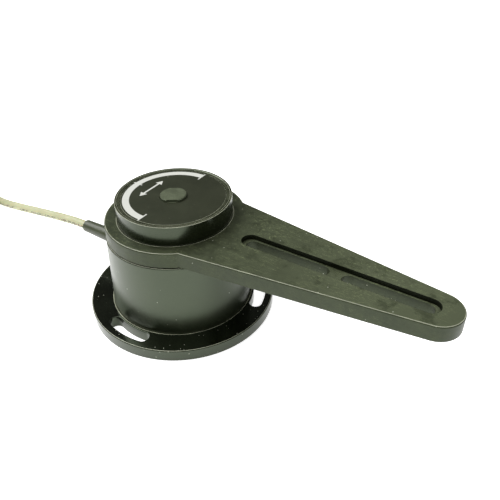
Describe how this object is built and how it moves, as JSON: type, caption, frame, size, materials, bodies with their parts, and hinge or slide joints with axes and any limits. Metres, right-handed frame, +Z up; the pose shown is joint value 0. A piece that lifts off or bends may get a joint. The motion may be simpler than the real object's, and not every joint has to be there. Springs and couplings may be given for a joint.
{
  "type": "rudder angle sensor",
  "caption": "Rotary angle sensor: round flanged housing with a long slotted lever, a dial cap with a travel scale and a coiled cable.",
  "frame": {"origin": "on the shaft axis, at the mounting face under the flange", "axes": "+Z up along the shaft, +X along the lever at mid travel, the cable leaves along -X"},
  "size_m": [0.4294, 0.1486, 0.066],
  "materials": {
    "flange": "satin black acetal",
    "housing": "satin black acetal, turned",
    "lever": "black acetal, finely scratched",
    "dial_cap": "satin black acetal, turned",
    "shaft": "satin dark grey acetal",
    "dial_plate": "satin black label",
    "print": "white print",
    "steel": "stainless steel",
    "dark_steel": "black oxide steel",
    "bronze": "sintered bronze",
    "brass": "turned brass",
    "aluminium": "sheet aluminium",
    "rubber": "black nitrile rubber",
    "boot": "dark grey flexible PVC",
    "cable": "cream PVC sheath",
    "cores": "coloured core insulation",
    "sleeve": "black shrink sleeve",
    "tie": "black nylon tie",
    "board": "green solder mask",
    "chips": "black epoxy",
    "terminal": "green nylon",
    "potentiometer": "blue phenolic can"
  },
  "bodies": {
    "housing": {"mounting_flange": "flange", "flange_screws": "steel", "housing_body": "housing", "bottom_cover": "flange", "cover_screws": "steel", "cover_seal": "rubber", "upper_bush": "bronze", "lower_bush": "bronze", "shaft_seal": "rubber", "stop_pin": "steel", "bracket_pillars": "brass", "sensor_bracket": "aluminium", "bracket_screws": "steel", "potentiometer_body": "potentiometer", "potentiometer_nut": "steel", "potentiometer_pins": "brass", "circuit_board": "board", "board_spacers": "brass", "board_screws": "steel", "board_chips": "chips", "board_capacitors": "aluminium", "terminal_block": "terminal", "gland_nut": "brass", "strain_relief": "boot", "cable_inner": "cable", "core_wires": "cores", "cable_run": "cable", "cable_coil": "cable", "coil_ties": "tie", "cable_tail": "cable", "end_sleeve": "sleeve", "core_ends": "cores"},
    "rotor": {"shaft": "shaft", "retaining_ring": "steel", "thrust_washer": "steel", "potentiometer_shaft": "steel", "coupling_screw": "dark_steel", "dial_cap": "dial_cap", "drive_pin": "steel", "dial_plate": "dial_plate", "scale_marks": "print", "lever_arm": "lever", "lever_grub_screws": "dark_steel"}
  },
  "joints": [
    {"name": "lever_swing", "type": "hinge", "parent": "housing", "child": "rotor", "pos_m": [0, 0, 0.05], "axis": [0, 0, 1], "range_deg": [-90, 90]}
  ]
}
